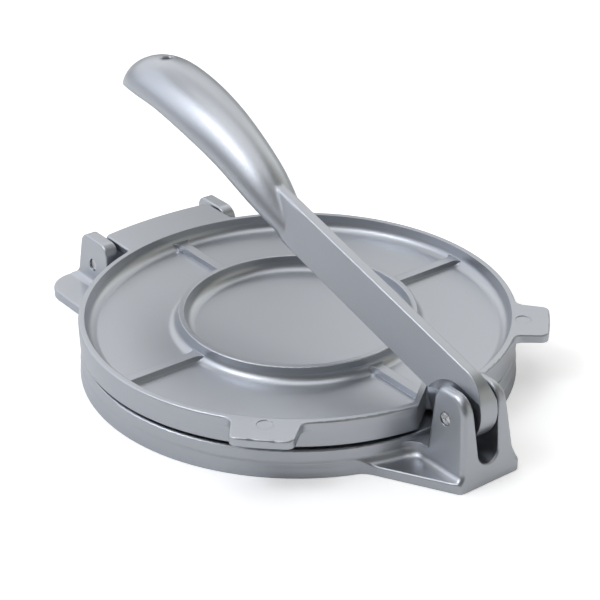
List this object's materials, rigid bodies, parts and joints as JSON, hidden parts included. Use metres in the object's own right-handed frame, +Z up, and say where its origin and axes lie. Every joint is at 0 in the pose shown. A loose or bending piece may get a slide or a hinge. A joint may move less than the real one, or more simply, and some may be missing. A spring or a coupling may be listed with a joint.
{
  "type": "tortilla press",
  "caption": "Cast aluminium tortilla press: round base plate, hinged top plate with lift tabs, and a lever with an arched grip that presses the plates together.",
  "frame": {"origin": "centre of the round base on its underside", "axes": "+X from the hinge towards the lever's ears, +Y along the pins, +Z up"},
  "size_m": [0.2678, 0.204, 0.1193],
  "materials": {
    "casting": "satin painted casting",
    "pin": "drawn steel"
  },
  "bodies": {
    "base": {"base_plate": "casting", "lever_pin": "pin", "hinge_pin_left": "pin", "hinge_pin_right": "pin"},
    "top": {"top_plate": "casting"},
    "lever": {"lever": "casting"}
  },
  "joints": [
    {"name": "lever_pivot", "type": "hinge", "parent": "base", "child": "lever", "pos_m": [0.1166, 0, 0.0283], "axis": [0, 1, 0], "range_deg": [0, 160]},
    {"name": "lid_hinge", "type": "hinge", "parent": "base", "child": "top", "pos_m": [-0.1165, 0, 0.01432], "axis": [0, -1, 0], "range_deg": [0, 32]}
  ],
  "couplings": [
    {"joint": "lid_hinge", "follows": "lever_pivot", "ratio": 0.2}
  ]
}
